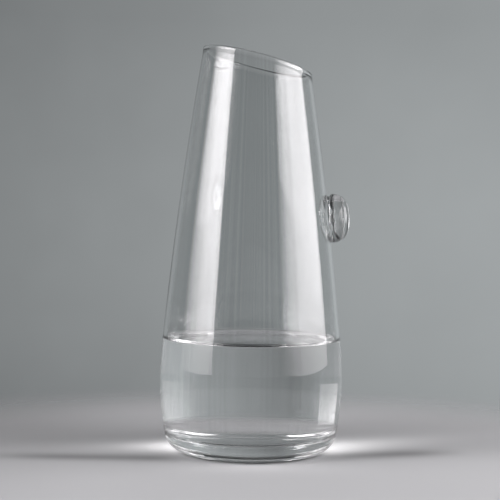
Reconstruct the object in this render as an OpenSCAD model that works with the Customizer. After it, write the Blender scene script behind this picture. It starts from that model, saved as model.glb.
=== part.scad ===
// Hand-blown water carafe: a tapering glass vessel with a thick base and a
// slanted, fire-polished mouth, a round glass knob fused to its side as a
// thumb rest, and the water that stands in it.
// The origin is the centre of the resting ring. +Z is up, the knob is on the
// +X side below the low side of the mouth, and -X is the pouring side.

/* [Body] */
// Height of the mouth's highest point above the table
carafe_h = 260; // [230:1:290]
// Width across the belly, at its widest line
belly_d = 117.6; // [110:0.2:124]
// Height of the belly's widest line
belly_z = 44; // [41:1:50]
// Radius of the wall's curve below the widest line
lower_curve_r = 180; // [150:5:220]
// Radius of the wall's curve just above the widest line
upper_curve_r = 330; // [300:5:400]
// Lean of the wall where the belly passes into the taper, in degrees
shoulder_lean = 5.5; // [5:0.1:6.5]
// Radius of the long curve of the tapering wall
taper_curve_r = 2950; // [2400:50:4000]
// Thickness of the blown wall
wall = 2.2; // [1.6:0.1:3]

/* [Base] */
// Thickness of the glass under the water
floor_t = 10.5; // [8:0.5:14]
// Radius of the rounded heel outside
heel_r = 12; // [10:0.5:15]
// Radius of the rounding between the wall and the floor inside
floor_round_r = 10; // [6:0.5:14]
// Width across the inside edge of the resting ring
ring_in_d = 60; // [50:1:70]
// Height of the hollow under the base, at its middle
kick_up = 2; // [1:0.5:4]

/* [Mouth] */
// Slant of the mouth, in degrees from level
mouth_slant = 13.5; // [8:0.1:20]
// Thickness of the fire-polished bead round the mouth
bead_d = 2.8; // [2.6:0.1:3.6]

/* [Knob] */
// Height of the knob's middle above the table
knob_z = 150.5; // [130:0.5:180]
// Width across the knob
knob_d = 31.6; // [30:0.2:36]
// Width across the root that is fused to the wall
root_d = 28.8; // [26:0.2:29.4]
// Height of the root's side, before the knob swells out over it
root_h = 0.8; // [0.4:0.1:1.4]
// Distance from the wall to the knob's widest line
bulge_h = 3.2; // [2.4:0.1:4]
// Distance from the wall to the knob's front
knob_reach = 13; // [12:0.1:15]
// Width across the dimple in the knob's front
dimple_d = 10; // [8:0.5:13]
// Depth of the dimple
dimple_depth = 0.8; // [0.4:0.1:1.4]
// Lift of the knob's axis above level, in degrees
knob_lift = 2; // [0:0.5:7]

/* [Water] */
// Height of the water's surface above the table
water_z = 72; // [60:1:120]
// Height and width of the water's upturned edge at the wall
edge_climb = 2.5; // [1.5:0.1:3.5]

/* [Hidden] */
$fn = 96;

// Overrun of cuts past what they cut
over = 5;
// Rings along the bead and corners round it
bead_rings = 72;
bead_sides = 12;
// Stretches that each arc of an outline is drawn with
short_steps = 6;
long_steps = 12;
// How far round the water's upturned edge climbs, in degrees
climb_turn = 60;

belly_r = belly_d / 2;
heel_turn = 90;

// Centres of the wall's three curves, as [radius, height] in the profile
lower_c = [belly_r - lower_curve_r, belly_z];
upper_c = [belly_r - upper_curve_r, belly_z];
taper_c = upper_c - (taper_curve_r - upper_curve_r) * [cos(shoulder_lean), sin(shoulder_lean)];

// The heel's curve touches the table and the lower wall, and the floor's
// rounding touches the floor and the inside of the lower wall
heel_angle = asin((heel_r - belly_z) / (lower_curve_r - heel_r));
heel_c = lower_c + (lower_curve_r - heel_r) * [cos(heel_angle), sin(heel_angle)];
round_z = floor_t + floor_round_r;
round_angle = asin((round_z - belly_z) / (lower_curve_r - wall - floor_round_r));
round_c = lower_c + (lower_curve_r - wall - floor_round_r) * [cos(round_angle), sin(round_angle)];

// The hollow under the base is a shallow dome
ring_in_r = ring_in_d / 2;
dome_r = (pow(ring_in_r, 2) + pow(kick_up, 2)) / (2 * kick_up);
dome_angle = asin(ring_in_r / dome_r);

// The middle of the wall at the mouth's highest point sets the mouth's plane
bead_r = bead_d / 2;
mid_r = taper_curve_r - wall / 2;
high_z = carafe_h - bead_r;
high_x = taper_c.x + sqrt(pow(mid_r, 2) - pow(high_z - taper_c.y, 2));
mouth_z = high_z - high_x * tan(mouth_slant);

// The knob's root starts on the outside of the wall
knob_r = knob_d / 2;
root_r = root_d / 2;
dimple_r = dimple_d / 2;
seat_x = taper_c.x + sqrt(pow(taper_curve_r, 2) - pow(knob_z - taper_c.y, 2));

// Points on an arc after its first point, from one angle to another
function arc(centre, r, from, to, steps) =
    [for (i = [1:steps])
        let (turn = from + (to - from) * i / steps)
        centre + r * [cos(turn), sin(turn)]];

// The same on an oval, with its half width and half height
function oval(centre, half, from, to, steps) =
    [for (i = [1:steps])
        let (turn = from + (to - from) * i / steps)
        centre + [half.x * cos(turn), half.y * sin(turn)]];

function reversed(points) = [for (i = [len(points) - 1:-1:0]) points[i]];

// Angle on one of the wall's curves at a height
function angle_at(centre, r, z) = asin((z - centre.y) / r);

// The wall's profile upwards from its lower curve to a height above the
// shoulder, drawn at a depth inside the outer face
function wall_line(depth, start, top_z) =
    let (taper_r = taper_curve_r - depth)
    concat(
        arc(lower_c, lower_curve_r - depth, start, 0, long_steps),
        arc(upper_c, upper_curve_r - depth, 0, shoulder_lean, short_steps),
        arc(taper_c, taper_r, shoulder_lean, angle_at(taper_c, taper_r, top_z), long_steps));

// Outside and inside of the blown body, both from the axis to the top
function outside_line() = concat(
    [[0, kick_up]],
    reversed([for (i = [0:short_steps - 1])
        [dome_r * sin(dome_angle * (short_steps - i) / short_steps),
         kick_up - dome_r + dome_r * cos(dome_angle * (short_steps - i) / short_steps)]]),
    [[heel_c.x, 0]],
    arc(heel_c, heel_r, -heel_turn, heel_angle, long_steps),
    wall_line(0, heel_angle, carafe_h + over));

function floor_line() = concat(
    [[0, floor_t], [round_c.x, floor_t]],
    arc(round_c, floor_round_r, -heel_turn, round_angle, long_steps));

function inside_line() = concat(
    floor_line(),
    wall_line(wall, round_angle, carafe_h + over));

// Middle of the wall where the mouth's plane meets it, at a turn about Z
function mouth_point(turn) =
    let (fall = tan(mouth_slant) * cos(turn),
         rise = mouth_z - taper_c.y,
         a = 1 + pow(fall, 2),
         b = taper_c.x + fall * rise,
         c = pow(taper_c.x, 2) + pow(rise, 2) - pow(mid_r, 2),
         r = (b + sqrt(pow(b, 2) - a * c)) / a)
    [r, mouth_z - fall * r];

module outside_solid() {
    rotate_extrude() polygon(concat([[0, carafe_h + over]], outside_line()));
}

module above_mouth() {
    side = 2 * carafe_h;
    translate([0, 0, mouth_z])
        rotate([0, mouth_slant, 0])
            translate([-side / 2, -side / 2, 0])
                cube(side);
}

// The rim's bead follows the slanted end of the wall
module mouth_bead() {
    points = [for (i = [0:bead_rings - 1], j = [0:bead_sides - 1])
        let (turn = 360 * i / bead_rings,
             side = 360 * j / bead_sides,
             p = mouth_point(turn) + bead_r * [cos(side), sin(side)])
        [p.x * cos(turn), p.x * sin(turn), p.y]];
    faces = [for (i = [0:bead_rings - 1], j = [0:bead_sides - 1])
        let (i2 = (i + 1) % bead_rings, j2 = (j + 1) % bead_sides)
        [i * bead_sides + j, i * bead_sides + j2, i2 * bead_sides + j2, i2 * bead_sides + j]];
    polyhedron(points, faces);
}

module vessel() {
    color([0.86, 0.9, 0.9, 0.35])
    union() {
        difference() {
            rotate_extrude() polygon(concat(outside_line(), reversed(inside_line())));
            above_mouth();
        }
        mouth_bead();
    }
}

// The knob is a pressed drop of glass. It swells out over its root, rounds
// over to its front and has a dimple there.
module knob_blank() {
    bowl_r = (pow(dimple_r, 2) + pow(dimple_depth, 2)) / (2 * dimple_depth);
    bowl_angle = asin(dimple_r / bowl_r);
    bowl_c = [0, knob_reach - dimple_depth + bowl_r];
    rotate_extrude()
        polygon(concat(
            [[0, -over], [root_r, -over], [root_r, root_h]],
            oval([root_r, bulge_h], [knob_r - root_r, bulge_h - root_h], -90, 0, short_steps),
            oval([dimple_r, bulge_h], [knob_r - dimple_r, knob_reach - bulge_h], 0, 90, long_steps),
            arc(bowl_c, bowl_r, -90 + bowl_angle, -90, short_steps)));
}

module knob() {
    color([0.86, 0.9, 0.9, 0.35])
    difference() {
        translate([seat_x, 0, knob_z])
            rotate([0, 90 - knob_lift, 0])
                knob_blank();
        outside_solid();
    }
}

// The water fills the floor's rounding and the wall, and turns up at its edge
module water() {
    shore_angle = angle_at(upper_c, upper_curve_r - wall, water_z);
    shore_x = upper_c.x + (upper_curve_r - wall) * cos(shore_angle);
    edge_c = [shore_x - edge_climb, water_z + edge_climb];
    edge_z = edge_c.y - edge_climb * cos(climb_turn);
    edge_angle = angle_at(upper_c, upper_curve_r - wall, edge_z);
    color([0.8, 0.88, 0.9, 0.4])
    rotate_extrude()
        polygon(concat(
            floor_line(),
            arc(lower_c, lower_curve_r - wall, round_angle, 0, long_steps),
            arc(upper_c, upper_curve_r - wall, 0, edge_angle, short_steps),
            reversed(arc(edge_c, edge_climb, -90, -90 + climb_turn, short_steps)),
            [[edge_c.x, water_z], [0, water_z]]));
}

vessel();
knob();
water();
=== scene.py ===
import math

import bmesh
import bpy
from mathutils import Matrix, Vector


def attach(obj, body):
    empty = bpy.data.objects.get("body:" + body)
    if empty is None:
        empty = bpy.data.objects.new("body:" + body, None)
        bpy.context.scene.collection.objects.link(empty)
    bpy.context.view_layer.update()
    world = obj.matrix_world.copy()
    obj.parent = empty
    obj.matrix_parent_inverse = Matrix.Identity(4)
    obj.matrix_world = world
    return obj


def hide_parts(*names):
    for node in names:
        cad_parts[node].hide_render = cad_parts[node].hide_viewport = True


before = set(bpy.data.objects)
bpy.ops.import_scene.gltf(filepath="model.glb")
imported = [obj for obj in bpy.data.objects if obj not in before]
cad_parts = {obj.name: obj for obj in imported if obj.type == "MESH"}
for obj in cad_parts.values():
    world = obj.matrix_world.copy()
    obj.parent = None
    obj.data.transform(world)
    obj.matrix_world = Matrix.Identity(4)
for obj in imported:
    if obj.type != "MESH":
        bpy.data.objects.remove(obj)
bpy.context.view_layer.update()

# The body is one gather of clear glass, blown free-hand into a tall taper over
# a thick base with a shallow hollow under it. Its mouth is cut on a slant and
# fire-polished, so that the edge has run into a small round bead.
MM = 0.001
WALL = 2.2 * MM
BELLY_R = 58.8 * MM
BELLY_Z = 44 * MM
LOWER_CURVE = 180 * MM
UPPER_CURVE = 330 * MM
TAPER_CURVE = 2950 * MM
TAPER_LEAN = math.radians(5.5)
HEEL_ROUND = 12 * MM
FLOOR_Z = 10.5 * MM
FLOOR_ROUND = 10 * MM
RING_R = 30 * MM
KICK_UP = 2 * MM
MOUTH_TOP = 260 * MM
MOUTH_SLANT = math.radians(13.5)
BEAD_R = 1.4 * MM
BEAD_SWELL = 4 * MM
TAPER_RING_Z = 234 * MM
GATHER_TOP_Z = 274 * MM
WATER_Z = 70.8 * MM
WATER_CAPILLARY = 2.4 * MM
CLIMB_TURN = math.radians(74)
TURNS = 256
MERGE_GAP = 0.002 * MM
QUARTER = math.pi / 2

lower_centre = Vector((BELLY_R - LOWER_CURVE, BELLY_Z))
upper_centre = Vector((BELLY_R - UPPER_CURVE, BELLY_Z))
to_taper_centre = Vector((math.cos(TAPER_LEAN), math.sin(TAPER_LEAN))) * (TAPER_CURVE - UPPER_CURVE)
taper_centre = upper_centre - to_taper_centre


def arc(centre, radius, start, end, steps):
    """The points of an arc in the profile after its first, as (radius, height)."""
    turns = [start + (end - start) * i / steps for i in range(1, steps + 1)]
    return [(centre.x + radius * math.cos(t), centre.y + radius * math.sin(t)) for t in turns]


def turn_at(centre, radius, z):
    """How far round an arc of the wall a height lies."""
    return math.asin((z - centre.y) / radius)


def taper_r(z, depth=0.0):
    """The taper's radius at a height, at a depth inside the outer face."""
    return taper_centre.x + math.sqrt((TAPER_CURVE - depth) ** 2 - (z - taper_centre.y) ** 2)


def seat_of_round(radius, depth, level):
    """The angle and the centre of a rounding that joins a level to the lower wall."""
    reach = LOWER_CURVE - depth - radius
    turn = math.asin((level + radius - BELLY_Z) / reach)
    return turn, lower_centre + Vector((math.cos(turn), math.sin(turn))) * reach


def start_line(name, first):
    """A new piece with one vertex, in edit mode, ready to be drawn out."""
    bpy.ops.object.select_all(action="DESELECT")
    bpy.ops.mesh.primitive_plane_add(size=MM)
    piece = bpy.context.object
    piece.name = name
    bpy.ops.object.mode_set(mode="EDIT")
    bpy.ops.mesh.select_all(action="SELECT")
    bpy.ops.mesh.merge(type="CENTER")
    bpy.ops.transform.translate(value=(first[0], 0, first[1]))
    return piece


def spin_outline(name, outline):
    """A piece turned round Z from its outline, closed and facing outwards."""
    piece = start_line(name, outline[0])
    for old, new in zip(outline, outline[1:]):
        step = (new[0] - old[0], 0, new[1] - old[1])
        bpy.ops.mesh.extrude_region_move(TRANSFORM_OT_translate={"value": step})
    bpy.ops.mesh.select_all(action="SELECT")
    bpy.ops.mesh.spin(steps=TURNS, angle=math.tau, center=(0, 0, 0), axis=(0, 0, 1))
    bpy.ops.mesh.select_all(action="SELECT")
    bpy.ops.mesh.remove_doubles(threshold=MERGE_GAP)
    bpy.ops.mesh.normals_make_consistent(inside=False)
    return piece


heel_turn, heel_centre = seat_of_round(HEEL_ROUND, 0, 0)
round_turn, round_centre = seat_of_round(FLOOR_ROUND, WALL, FLOOR_Z)
dome_r = (RING_R**2 + KICK_UP**2) / (2 * KICK_UP)
dome_turn = math.asin(RING_R / dome_r)
wet_z = WATER_Z + 2 * WATER_CAPILLARY * math.sin(CLIMB_TURN / 2)
wet_turn = turn_at(upper_centre, UPPER_CURVE - WALL, wet_z)

outside = [(0, KICK_UP)]
outside += arc(Vector((0, KICK_UP - dome_r)), dome_r, QUARTER, QUARTER - dome_turn, 8)
outside += [(RING_R + 6 * MM, 0), (heel_centre.x, 0)]
outside += arc(heel_centre, HEEL_ROUND, -QUARTER, heel_turn, 24)
outside += arc(lower_centre, LOWER_CURVE, heel_turn, 0, 20)
outside += arc(upper_centre, UPPER_CURVE, 0, TAPER_LEAN, 8)
outside += arc(taper_centre, TAPER_CURVE, TAPER_LEAN, turn_at(taper_centre, TAPER_CURVE, TAPER_RING_Z), 14)
outside += [(taper_r(GATHER_TOP_Z), GATHER_TOP_Z)]

floor_line = [(0, FLOOR_Z), (14 * MM, FLOOR_Z), (28 * MM, FLOOR_Z), (38 * MM, FLOOR_Z)]
floor_line += [(round_centre.x, FLOOR_Z)]
floor_line += arc(round_centre, FLOOR_ROUND, -QUARTER, round_turn, 18)
wet_line = arc(lower_centre, LOWER_CURVE - WALL, round_turn, 0, 14)
wet_line += arc(upper_centre, UPPER_CURVE - WALL, 0, wet_turn, 6)
inner_top_turn = turn_at(taper_centre, TAPER_CURVE - WALL, TAPER_RING_Z)
inside = floor_line + wet_line
inside += arc(upper_centre, UPPER_CURVE - WALL, wet_turn, TAPER_LEAN, 2)
inside += arc(taper_centre, TAPER_CURVE - WALL, TAPER_LEAN, inner_top_turn, 14)
inside += [(taper_r(GATHER_TOP_Z, WALL), GATHER_TOP_Z)]

vessel = spin_outline("vessel_glass", outside + inside[::-1])

# The gather's top is cut away on the slant, just below the bead.
bead_top_z = MOUTH_TOP - BEAD_R
mouth_z = bead_top_z - taper_r(bead_top_z, WALL / 2) * math.tan(MOUTH_SLANT)
mouth_axis = (math.sin(MOUTH_SLANT), 0, math.cos(MOUTH_SLANT))
cut_z = mouth_z - BEAD_SWELL
bpy.ops.mesh.select_all(action="SELECT")
bpy.ops.mesh.bisect(plane_co=(0, 0, cut_z), plane_no=mouth_axis, clear_outer=True)
bpy.ops.mesh.select_all(action="DESELECT")
mesh = bmesh.from_edit_mesh(vessel.data)
for edge in mesh.edges:
    middle = (edge.verts[0].co + edge.verts[1].co) / 2
    if edge.is_boundary and middle.xy.length > taper_r(middle.z, WALL / 2):
        edge.select_set(True)
bmesh.update_edit_mesh(vessel.data)

# The outer edge is drawn up, over the bead and down its inner side. Each step
# is an offset from the wall's middle and a height above the bead's middle.
swell = [(1.12, -3), (1.19, -2.1), (1.29, -1.3), (1.37, -0.6)]
bead_line = [(offset * MM, rise * MM) for offset, rise in swell]
bead_line += [(BEAD_R * math.cos(math.pi * i / 14), BEAD_R * math.sin(math.pi * i / 14)) for i in range(15)]
bead_line += [(-offset * MM, rise * MM) for offset, rise in swell[::-1]]
last_r, last_z = taper_r(cut_z), cut_z
for offset, rise in bead_line:
    new_z = mouth_z + rise
    new_r = taper_r(new_z, WALL / 2) + offset
    bpy.ops.mesh.extrude_edges_move(TRANSFORM_OT_translate={"value": (0, 0, new_z - last_z)})
    bpy.ops.transform.resize(value=(new_r / last_r,) * 3, center_override=(0, 0, new_z))
    last_r, last_z = new_r, new_z
bpy.ops.mesh.select_all(action="DESELECT")
bpy.ops.mesh.select_non_manifold(
    use_wire=False, use_multi_face=False, use_non_contiguous=False, use_verts=False
)
bpy.ops.mesh.bridge_edge_loops()
bpy.ops.mesh.select_all(action="SELECT")
bpy.ops.mesh.normals_make_consistent(inside=False)
bpy.ops.object.mode_set(mode="OBJECT")
bpy.ops.object.shade_smooth()


class Wire:
    """A value in a material or the world; sums on it add its Math nodes."""

    def __init__(self, tree, socket=None):
        self.tree = tree
        self.socket = socket

    def node(self, kind, values=(), output=0, stops=(), **settings):
        """A new node with its settings, a ramp's stops and its sockets' values, as a wire."""
        new = self.tree.nodes.new("ShaderNode" + kind)
        for name, value in settings.items():
            setattr(new, name, value)
        for i, (place, colour) in enumerate(stops):
            stop = new.color_ramp.elements[i] if i < 2 else new.color_ramp.elements.new(place)
            stop.position = place
            stop.color = (*colour, 1)
        for name, value in dict(values).items():
            if isinstance(value, Wire):
                self.tree.links.new(value.socket, new.inputs[name])
            else:
                new.inputs[name].default_value = value
        return Wire(self.tree, new.outputs[output] if len(new.outputs) else None)

    def maths(self, operation, first, second=0.0):
        return self.node("Math", {0: first, 1: second}, operation=operation)

    def __add__(self, other):
        return self.maths("ADD", self, other)

    def __sub__(self, other):
        return self.maths("SUBTRACT", self, other)

    def __rsub__(self, other):
        return self.maths("SUBTRACT", other, self)

    def __mul__(self, other):
        return self.maths("MULTIPLY", self, other)

    def __pow__(self, other):
        return self.maths("POWER", self, other)

    def __gt__(self, other):
        return self.maths("GREATER_THAN", self, other)

    __radd__ = __add__
    __rmul__ = __mul__


def new_material(name):
    """An empty material and a wire to start its nodes from."""
    material = bpy.data.materials.new(name)
    material.use_nodes = True
    material.node_tree.nodes.clear()
    return material, Wire(material.node_tree)


GLASS_TINT = (0.85, 0.86, 0.86)
GLASS_IOR = 1.52
WATER_IOR = 1.333
WAVE_DEPTH = 0.06 * MM
HAZE = 0.008


def blown_glass(name, tint, ior):
    """Clear blown glass: faintly wavy, with a trace of haze in its polish."""
    material, start = new_material(name)
    place = start.node("TexCoord", output="Object")
    drawn_out = start.node("Mapping", {"Vector": place, "Scale": (1, 1, 0.25)})
    waves = start.node("TexNoise", {"Vector": drawn_out, "Scale": 34, "Detail": 1.5})
    bump = start.node("Bump", {"Height": waves, "Strength": 1.0, "Distance": WAVE_DEPTH})
    cloud = start.node("TexNoise", {"Vector": place, "Scale": 55, "Detail": 3})
    values = {"Base Color": (*tint, 1), "IOR": ior, "Transmission Weight": 1, "Normal": bump}
    values["Roughness"] = cloud * HAZE
    start.node("OutputMaterial", {"Surface": start.node("BsdfPrincipled", values)})
    return material, start


def feed(material, socket, wire):
    """Link a wire to a socket of a glass material's shader."""
    shader = material.node_tree.nodes["Principled BSDF"]
    material.node_tree.links.new(wire.socket, shader.inputs[socket])


# The knob is fused on, so inside its root the wall has no outer face.
KNOB_Z = 150.5 * MM
KNOB_ROOT_R = 14.4 * MM
KNOB_LIFT = math.radians(2)
knob_axis = Vector((math.cos(KNOB_LIFT), 0, math.sin(KNOB_LIFT)))
knob_seat = Vector((taper_r(KNOB_Z), 0, KNOB_Z))


def past_depth(start, depth):
    """1 where a point lies outside the taper, or in its wall and less deep than a depth."""
    place = start.node("TexCoord", output="Object")
    parts = [start.node("SeparateXYZ", {0: place}, output=axis) for axis in "XYZ"]
    radius = (parts[0] * parts[0] + parts[1] * parts[1]) ** 0.5
    from_centre = ((radius - taper_centre.x) ** 2 + (parts[2] - taper_centre.y) ** 2) ** 0.5
    return from_centre > TAPER_CURVE - depth


def clear_of_root(start):
    """1 on the wall, and 0 on its outer face where the knob's root has become one with it."""
    place = start.node("TexCoord", output="Object")
    from_seat = start.node("VectorMath", {0: place, 1: knob_seat}, operation="SUBTRACT")
    across = start.node("VectorMath", {0: from_seat, 1: knob_axis}, operation="CROSS_PRODUCT")
    distance = start.node("VectorMath", {0: across}, output="Value", operation="LENGTH")
    side = start.node("SeparateXYZ", {0: place}, output="X")
    in_root = (1 - (distance > KNOB_ROOT_R)) * (side > 0)
    return 1 - in_root * past_depth(start, WALL / 2)


dry_glass, start = blown_glass("dry_glass", GLASS_TINT, GLASS_IOR)
feed(dry_glass, "Alpha", clear_of_root(start))

# The bead is left untinted, so it is clearer than the wall.
# Below it, blowing has drawn the glass out into faint lines up the body.
CLEAR_FROM, CLEAR_TO = 1 * MM, 3 * MM
place = start.node("TexCoord", output="Object")
up_mouth = start.node("VectorMath", {0: place, 1: mouth_axis}, output="Value", operation="DOT_PRODUCT")
cut_level = cut_z * math.cos(MOUTH_SLANT)
wall_share = start.node(
    "MapRange",
    {
        "Value": up_mouth,
        "From Min": cut_level + CLEAR_FROM,
        "From Max": cut_level + CLEAR_TO,
        "To Min": 1.0,
        "To Max": 0.0,
    },
)
lost = [1 - level for level in GLASS_TINT]
shade = start.node("VectorMath", {0: lost, "Scale": wall_share}, operation="SCALE")
dry_colour = start.node("VectorMath", {0: (1, 1, 1), 1: shade}, operation="SUBTRACT")
level_place = start.node("VectorMath", {0: place, 1: (1, 1, 0)}, operation="MULTIPLY")
from_axis = start.node("VectorMath", {0: level_place}, operation="NORMALIZE")
drawn_lines = start.node("TexNoise", {"Vector": from_axis, "Scale": 22, "Detail": 4, "Roughness": 0.7})
clearness = start.node(
    "MapRange", {"Value": drawn_lines, "From Min": 0.3, "From Max": 0.7, "To Min": 0.9, "To Max": 1.06}
)
dry_colour = start.node("VectorMath", {0: dry_colour, "Scale": clearness}, operation="SCALE")
feed(dry_glass, "Base Color", dry_colour)
wet_glass, start = blown_glass("wet_glass", (1, 1, 1), GLASS_IOR / WATER_IOR)

# Where water touches the wall and the floor, the glass bends light less.
vessel.data.materials.append(dry_glass)
vessel.data.materials.append(wet_glass)
for face in vessel.data.polygons:
    middle = face.center
    under_water = FLOOR_Z - 0.1 * MM < middle.z < wet_z
    faces_axis = face.normal.xy.dot(middle.xy) < -0.5 * middle.xy.length
    faces_up = face.normal.z > 0.1
    face.material_index = 1 if under_water and (faces_axis or faces_up) else 0
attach(vessel, "root")
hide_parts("vessel")

# The knob is a second, small gather, dropped on the warm wall as a thumb rest
# and pressed with a round tool, which left a dimple in its front. It is the
# same clear glass, fused to the body over its whole root.
KNOB_R = 15.8 * MM
KNOB_REACH = 13 * MM
KNOB_BULGE = 3.2 * MM
ROOT_RISE = 0.8 * MM
ROOT_DEPTH = 3.4 * MM
DIMPLE_R = 5 * MM
DIMPLE_DEPTH = 0.8 * MM
KNOB_TINT = (0.98, 0.99, 0.99)
SEAM_RISE = 0.9 * MM
SEAM_LEAN = 7 * MM
SEAM_WAVER = 0.25 * MM
SEAM_DEPTH = 0.5 * MM
SEAM_WIDTH = 0.6 * MM
SEAM_SHADE = 0.97
SHADE_SPREAD = 1.6
WALL_SIDE = -0.5 * MM
FOLD_RISE = 7.6 * MM
FOLD_DEPTH = 0.6 * MM
FOLD_WIDTH = 0.5 * MM


def oval(centre, half_width, half_height, start, end, steps):
    """The points of an oval's arc after its first, as (radius, height)."""
    turns = [start + (end - start) * i / steps for i in range(1, steps + 1)]
    return [(centre[0] + half_width * math.cos(t), centre[1] + half_height * math.sin(t)) for t in turns]


bowl_r = (DIMPLE_R**2 + DIMPLE_DEPTH**2) / (2 * DIMPLE_DEPTH)
bowl_turn = math.asin(DIMPLE_R / bowl_r)
bowl_centre = Vector((0, KNOB_REACH - DIMPLE_DEPTH + bowl_r))
knob_line = [(0, -ROOT_DEPTH), (KNOB_ROOT_R, -ROOT_DEPTH)]
root_height = ROOT_DEPTH + ROOT_RISE
knob_line += [(KNOB_ROOT_R, ROOT_RISE - root_height * (1 - i / 20)) for i in range(1, 21)]
knob_line += oval((KNOB_ROOT_R, KNOB_BULGE), KNOB_R - KNOB_ROOT_R, KNOB_BULGE - ROOT_RISE, -QUARTER, 0, 20)
knob_line += oval((DIMPLE_R, KNOB_BULGE), KNOB_R - DIMPLE_R, KNOB_REACH - KNOB_BULGE, 0, QUARTER, 90)
knob_line += arc(bowl_centre, bowl_r, bowl_turn - QUARTER, -QUARTER, 10)

knob = spin_outline("thumb_knob", knob_line)
bpy.ops.object.mode_set(mode="OBJECT")
bpy.ops.object.shade_smooth()


def nearness(z, middle, width):
    """1 at a height, falling off softly above and below it over a width."""
    return math.exp(-(((z - middle) / width) ** 2))


# Pressing it left an uneven seam round its root, which runs out to the
# front at the bottom, and a fold round its side. The seam is darkened with painted shade in the glass's
# colour.
# The seam's painted shade is kept in a point attribute.
seam_shade = knob.data.attributes.new("seam_shade", "FLOAT", "POINT")
for vertex in knob.data.vertices:
    outward = vertex.co.xy.normalized()
    down = outward.x
    seam_z = SEAM_RISE + SEAM_LEAN * max(down, 0) ** 3 + SEAM_WAVER * math.sin(11 * down + outward.y)
    seam_width = SEAM_WIDTH * (1 + 0.5 * math.sin(9 * down + 1))
    in_seam = nearness(vertex.co.z, seam_z, seam_width)
    in_fold = nearness(vertex.co.z, FOLD_RISE, FOLD_WIDTH)
    if vertex.co.z > WALL_SIDE and vertex.co.xy.length > DIMPLE_R:
        vertex.co.xy -= outward * (SEAM_DEPTH * in_seam + FOLD_DEPTH * in_fold)
        seam_shade.data[vertex.index].value = min(SHADE_SPREAD * in_seam, 1)
knob.data.transform(Matrix.Translation(knob_seat) @ Matrix.Rotation(QUARTER - KNOB_LIFT, 4, "Y"))

knob_glass, start = blown_glass("knob_glass", KNOB_TINT, GLASS_IOR)
# Painted shade: the seam darkens the knob's glass colour along the groove.
clear = 1 - start.node("Attribute", output="Fac", attribute_name="seam_shade") * SEAM_SHADE
feed(knob_glass, "Base Color", start.node("VectorMath", {0: KNOB_TINT, "Scale": clear}, operation="SCALE"))
feed(knob_glass, "Alpha", past_depth(start, 0))
knob.data.materials.append(knob_glass)
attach(knob, "root")
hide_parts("knob")

# The water fills the body to a little over a quarter of its height. It wets
# the glass, so its edge climbs the wall, and where they touch there is no
# surface of its own to see.
FILM_GAP = 0.02 * MM
FILM_LIFT = 0.3 * FILM_GAP
EDGE_SLOPES = (1.0, 0.9, 0.8, 0.7, 0.6, 0.5, 0.4, 0.3, 0.22, 0.15, 0.1, 0.06, 0.03, 0.012)
# The rounding's first point would dip below the lifted floor, so it is left out.
flat_floor, rounding = floor_line[:5], floor_line[6:]
water_line = [(r, z + FILM_GAP) for r, z in flat_floor]
water_line += [(r - FILM_GAP, z + FILM_LIFT) for r, z in rounding + wet_line[:-1]]
shore_r = upper_centre.x + (UPPER_CURVE - WALL) * math.cos(wet_turn) - FILM_GAP


def edge_run(turn):
    """How far out a slope of the water's edge lies, in capillary lengths."""
    return math.log(math.tan(turn / 4)) + 2 * math.cos(turn / 2)


for share in EDGE_SLOPES:
    turn = CLIMB_TURN * share
    inward = WATER_CAPILLARY * (edge_run(CLIMB_TURN) - edge_run(turn))
    water_line += [(shore_r - inward, WATER_Z + 2 * WATER_CAPILLARY * math.sin(turn / 2))]
water_line += [(r * MM, WATER_Z) for r in (38, 30, 20, 10, 0)]
water = spin_outline("still_water", water_line)
bpy.ops.object.mode_set(mode="OBJECT")
bpy.ops.object.shade_smooth()

water_top, start = new_material("water_surface")
place = start.node("TexCoord", output="Object")
ripple = start.node("TexNoise", {"Vector": place, "Scale": 30, "Detail": 1})
bump = start.node("Bump", {"Height": ripple, "Strength": 1.0, "Distance": 0.01 * MM})
surface = start.node(
    "BsdfPrincipled",
    {
        "Base Color": (1, 1, 1, 1),
        "IOR": WATER_IOR,
        "Roughness": 0.0,
        "Transmission Weight": 1,
        "Normal": bump,
    },
)
start.node("OutputMaterial", {"Surface": surface})
water_skin, start = new_material("water_against_glass")
start.node("OutputMaterial", {"Surface": start.node("BsdfTransparent", {"Color": (1, 1, 1, 1)})})
water.data.materials.append(water_top)
water.data.materials.append(water_skin)
for face in water.data.polygons:
    face.material_index = 0 if face.normal.z > 0.1 else 1
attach(water, "root")
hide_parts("water")

# The carafe stands on a round pale board, whose far edge melts into an even
# grey studio wall. Its paint carries painted light: pools of light beside and in
# front of the base where the water would gather light, painted shadow lines in
# front of the side pools, and painted shade under the base.
VIEW_TURN = math.radians(-3.5)
BOARD_R = 0.6
BOARD_MIDDLE = (-0.007, -0.12, 0)
BOARD_GAP = 0.03 * MM
BOARD_TONE = (0.575, 0.585, 0.594)
POOL_TONE = (1, 0.98, 0.99)
POOL_CORE = -12 * MM
POOL_ENDS = (-35 * MM, -18 * MM)
SHADOW_ENDS = (-30 * MM, 0)
FOOT_ENDS = (40 * MM, 52 * MM)
FOOT_LIGHT = 0.06
photo_right = (math.cos(VIEW_TURN), math.sin(VIEW_TURN), 0)
photo_forward = (-math.sin(VIEW_TURN), math.cos(VIEW_TURN), 0)
bpy.ops.object.select_all(action="DESELECT")
bpy.ops.mesh.primitive_circle_add(vertices=128, radius=BOARD_R, fill_type="NGON", location=(0, 0, 0))
board = bpy.context.object
board.name = "floor_board"
board.data.transform(Matrix.Translation((0, 0, -BOARD_GAP)))
board_paint, start = new_material("pale_floor")
place = start.node("TexCoord", output="Object")
from_middle = start.node("VectorMath", {0: place, 1: BOARD_MIDDLE}, output="Value", operation="DISTANCE")
from_base = start.node("VectorMath", {0: place}, output="Value", operation="LENGTH")
across = start.node("VectorMath", {0: place, 1: photo_right}, output="Value", operation="DOT_PRODUCT")
depth = start.node("VectorMath", {0: place, 1: photo_forward}, output="Value", operation="DOT_PRODUCT")


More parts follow.
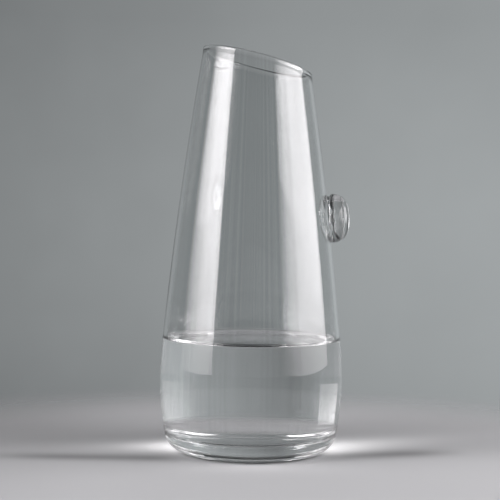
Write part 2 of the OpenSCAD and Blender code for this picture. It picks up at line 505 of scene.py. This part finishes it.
def bell(value, middle, width):
    """1 at a value's middle, falling off softly on both sides over a width."""
    off = (value - middle) * (1 / width)
    return start.maths("EXPONENT", off * off * -1)


def kept_above(value, low, high):
    """0 below a value's low end and 1 above its high end."""
    ends = {"Value": value, "From Min": low, "From Max": high}
    return start.node("MapRange", ends, interpolation_type="SMOOTHSTEP")


def along_and_aside(first, turn):
    """How far out along a line on the board a point lies, and how far to its side."""
    out, back = math.cos(turn), math.sin(turn)
    along = (across - first[0]) * out + (depth - first[1]) * back
    return along, (depth - first[1]) * out - (across - first[0]) * back


def painted_light_pool(first, turn, reach, width, strength):
    """A painted pool of light on the board, from a point beside the base outwards."""
    along, aside = along_and_aside(first, math.radians(turn))
    fading = start.maths("EXPONENT", start.maths("MAXIMUM", along, POOL_CORE) * (-1 / reach))
    return fading * bell(aside, 0, width) * kept_above(along, *POOL_ENDS) * strength


def painted_shadow_edge(first, turn, reach, width, strength):
    """The thin painted shadow line in front of a pool of light."""
    along, aside = along_and_aside(first, math.radians(turn))
    fading = 1 - kept_above(along, reach * 0.4, reach)
    return fading * bell(aside, 0, width) * kept_above(along, *SHADOW_ENDS) * strength


right_pool = painted_light_pool((0.062, 0.014), turn=25, reach=0.034, width=0.02, strength=0.55)
left_pool = painted_light_pool((-0.062, 0.002), turn=187, reach=0.022, width=0.018, strength=0.5)
front_pool = bell(across, 0, width=0.042) * bell(depth, -0.056, width=0.017) * 0.12
pools = right_pool + left_pool + front_pool * kept_above(from_base, 0.05, 0.056)
right_line = painted_shadow_edge((0.064, -0.018), turn=14, reach=0.085, width=0.012, strength=0.47)
left_line = painted_shadow_edge((-0.062, -0.035), turn=180, reach=0.13, width=0.011, strength=0.45)
# Painted shade: the board darkens away from the camera and to the left.
farther = kept_above(depth, -0.04, 0.02) * 0.12
leftward = kept_above(across * -1, 0.07, 0.2) * 0.2
# Painted shade darkens the board under the base.
under_base = kept_above(from_base, *FOOT_ENDS) * (1 - FOOT_LIGHT) + FOOT_LIGHT
painted_shade = (1 - farther - leftward) * under_base * (1 - (right_line + left_line))
grain = start.node("TexNoise", {"Vector": place, "Scale": 900, "Detail": 4})
paint = start.node(
    "BsdfPrincipled",
    {
        "Base Color": start.node("VectorMath", {0: BOARD_TONE, "Scale": painted_shade}, operation="SCALE"),
        "Roughness": 0.7,
        "Alpha": 1 - kept_above(from_middle, 0.26, 0.42),
        "Normal": start.node("Bump", {"Height": grain, "Strength": 0.2, "Distance": 0.05 * MM}),
        # The painted pools of light glow from the board's emission.
        "Emission Color": start.node("VectorMath", {0: POOL_TONE, "Scale": pools}, operation="SCALE"),
        "Emission Strength": 1.0,
    },
)
start.node("OutputMaterial", {"Surface": paint})
board.data.materials.append(board_paint)

# The wall behind is a mottled grey, a little lighter to the right. What gleams
# on the glass from the camera's side of the room is dark, and so is the ceiling.
WALL_TINT = (0.957, 1.012, 1.031, 1)
WALL_GREY = 0.292
WALL_MOTTLE = 0.05
SIDE_SLOPE = 0.309
SIDE_FALL = 0.28
RISE_FALL = 1.79
VIEW_SIDE = 0.22
VIEW_RISE = 0.17
ROOM_SIDE = 0.42
ROOM_FILL = (0.1, 0.1, 0.102, 1)
world = bpy.data.worlds.new("studio")
bpy.context.scene.world = world
world.use_nodes = True
world.node_tree.nodes.clear()
start = Wire(world.node_tree)
toward = start.node("TexCoord", output="Generated")


def passing(value, start_at, end_at, low, high):
    """A value between two ends, drawn onto another range and kept inside it."""
    ends = {"From Min": start_at, "From Max": end_at, "To Min": low, "To Max": high}
    return start.node("MapRange", {"Value": value, **ends})


def lean_to(direction):
    """How far a ray leans towards a direction, from -1 to 1."""
    return start.node("VectorMath", {0: toward, 1: direction}, output="Value", operation="DOT_PRODUCT")


side = passing(lean_to(photo_right), -VIEW_SIDE, VIEW_SIDE, -VIEW_SIDE, VIEW_SIDE)
rise = passing(lean_to((0, 0, 1)), -VIEW_RISE, VIEW_RISE, -VIEW_RISE, VIEW_RISE)
mottle = start.node("TexNoise", {"Vector": toward, "Scale": 9, "Detail": 3})
grey = WALL_GREY + side * SIDE_SLOPE - side * side * SIDE_FALL - rise * rise * RISE_FALL
grey = grey + mottle * WALL_MOTTLE
left_light = passing(lean_to(photo_right), -VIEW_SIDE, -ROOM_SIDE, 0.0, 0.1)
right_light = passing(lean_to(photo_right), VIEW_SIDE, ROOM_SIDE, 0.0, 0.12)
ceiling = passing(lean_to((0, 0, 1)), 0.4, 0.9, 1.0, 0.6)
grey = (grey + left_light + right_light) * ceiling
ahead = passing(lean_to(photo_forward), -0.2, 0.4, 0.15, 1.0)
backdrop = start.node("Background", {"Color": WALL_TINT, "Strength": grey})
gleam = start.node("Background", {"Color": WALL_TINT, "Strength": grey * ahead})
fill = start.node("Background", {"Color": ROOM_FILL, "Strength": 1.0})
seen = start.node("LightPath", output="Is Camera Ray")
through = start.node("LightPath", output="Is Transmission Ray")
reflected = start.node("LightPath", output="Is Glossy Ray")
unseen = start.node("MixShader", {0: reflected, 1: fill, 2: gleam})
both = start.node("MixShader", {0: start.maths("MAXIMUM", seen, through), 1: unseen, 2: backdrop})
start.node("OutputWorld", {"Surface": both})

# Two tall soft boxes stand on either side of the table and draw the long
# bright strips down the glass. Each is a flat glowing cloth, stronger in the
# middle, that isn't seen straight through the glass, only mirrored in it.
BOX_DISTANCE = 0.75
BOX_H = 0.7
BOX_CLOTH = (1.0, 0.965, 0.985, 1)


def soft_box(name, first_turn, last_turn, radiance, across, upward):
    """A glowing cloth that faces the carafe, between two turns from the camera's side."""
    middle = (first_turn + last_turn) / 2
    width = 2 * BOX_DISTANCE * math.tan(math.radians(last_turn - middle))
    bpy.ops.object.select_all(action="DESELECT")
    bpy.ops.mesh.primitive_plane_add(size=1)
    cloth = bpy.context.object
    cloth.name = name
    angle = VIEW_TURN + math.radians(middle)
    cloth.data.transform(Matrix.Diagonal((width, BOX_H, 1, 1)))
    cloth.data.transform(Matrix.Rotation(angle, 4, "Z") @ Matrix.Rotation(QUARTER, 4, "X"))
    seat = (BOX_DISTANCE * math.sin(angle), -BOX_DISTANCE * math.cos(angle), BOX_H / 2)
    cloth.data.transform(Matrix.Translation(seat))
    lit, start = new_material(name)
    spot = start.node("TexCoord", output="UV")
    levels = []
    for axis, stops in (("X", across), ("Y", upward)):
        along = start.node("SeparateXYZ", {0: spot}, output=axis)
        shades = [(stop, (level,) * 3) for stop, level in stops[:1] + stops[-1:] + stops[1:-1]]
        levels.append(start.node("ValToRGB", {"Fac": along}, stops=shades))
    glow = start.node("Emission", {"Color": BOX_CLOTH, "Strength": levels[0] * levels[1] * radiance})
    through = start.node("LightPath", output="Is Transmission Ray")
    mirrored = start.node("LightPath", output="Glossy Depth") > 0.5
    nothing = start.node("BsdfTransparent", {"Color": (1, 1, 1, 1)})
    surface = start.node("MixShader", {0: through * (1 - mirrored), 1: glow, 2: nothing})
    start.node("OutputMaterial", {"Surface": surface})
    cloth.data.materials.append(lit)
    cloth.visible_camera = False


# How bright the cloths are at shares of their width and of their height.
LEFT_RISE = [(0.0, 0.33), (0.1, 0.42), (0.25, 0.8), (0.4, 1.0), (1.0, 0.9)]
RIGHT_RISE = [(0.0, 0.4), (0.1, 0.52), (0.25, 0.88), (0.4, 1.0), (1.0, 0.9)]
LEFT_ACROSS = [(0.0, 0.1), (0.15, 0.3), (0.4, 0.65), (0.62, 0.95), (0.8, 1.0), (0.9, 0.97), (1.0, 0.85)]
RIGHT_ACROSS = [(0.0, 0.0), (0.14, 0.33), (0.25, 0.6), (0.41, 0.86), (0.56, 1.0), (0.72, 0.95), (1.0, 0.78)]
soft_box("left_box", -97, -47.5, radiance=8.2, across=LEFT_ACROSS, upward=LEFT_RISE)
soft_box("right_box", 38, 108, radiance=7.0, across=RIGHT_ACROSS, upward=RIGHT_RISE)

# A weak lamp overhead fills the shadows, and is too faint to show in the glass.
overhead = bpy.data.lights.new("overhead", "AREA")
overhead.size = 0.8
overhead.energy = 0.2
fill_lamp = bpy.data.objects.new("overhead", overhead)
bpy.context.scene.collection.objects.link(fill_lamp)
fill_lamp.location = (0, 0, 1.2)
fill_lamp.visible_camera = False

# The camera looks slightly down, from a little to the pouring side of the
# carafe's front, through a long lens.
camera = bpy.data.objects.new("photo_camera", bpy.data.cameras.new("photo_camera"))
bpy.context.scene.collection.objects.link(camera)
bpy.context.scene.camera = camera
CAMERA_DISTANCE = 0.75945
CAMERA_Z = 0.1459
CAMERA_TURN = math.radians(-3.362)
LOOK_DOWN = math.radians(1.258)
CAMERA_ROLL = math.radians(0.846)
camera.data.sensor_width = 36
camera.data.lens = 84.35
camera.data.clip_start, camera.data.clip_end = 0.1, 20
place = (CAMERA_DISTANCE * math.sin(VIEW_TURN), -CAMERA_DISTANCE * math.cos(VIEW_TURN), CAMERA_Z)
turned = Matrix.Rotation(CAMERA_TURN, 4, "Z") @ Matrix.Rotation(QUARTER - LOOK_DOWN, 4, "X")
camera.matrix_world = Matrix.Translation(place) @ turned @ Matrix.Rotation(CAMERA_ROLL, 4, "Z")

# A ray of light crosses many faces of glass and water, so it is followed for
# many bounces.
cycles = bpy.context.scene.cycles
cycles.max_bounces = 24
cycles.transmission_bounces = 24
cycles.glossy_bounces = 8
cycles.transparent_max_bounces = 16
cycles.caustics_reflective = True
cycles.caustics_refractive = True
bpy.context.scene.view_settings.view_transform = "Standard"
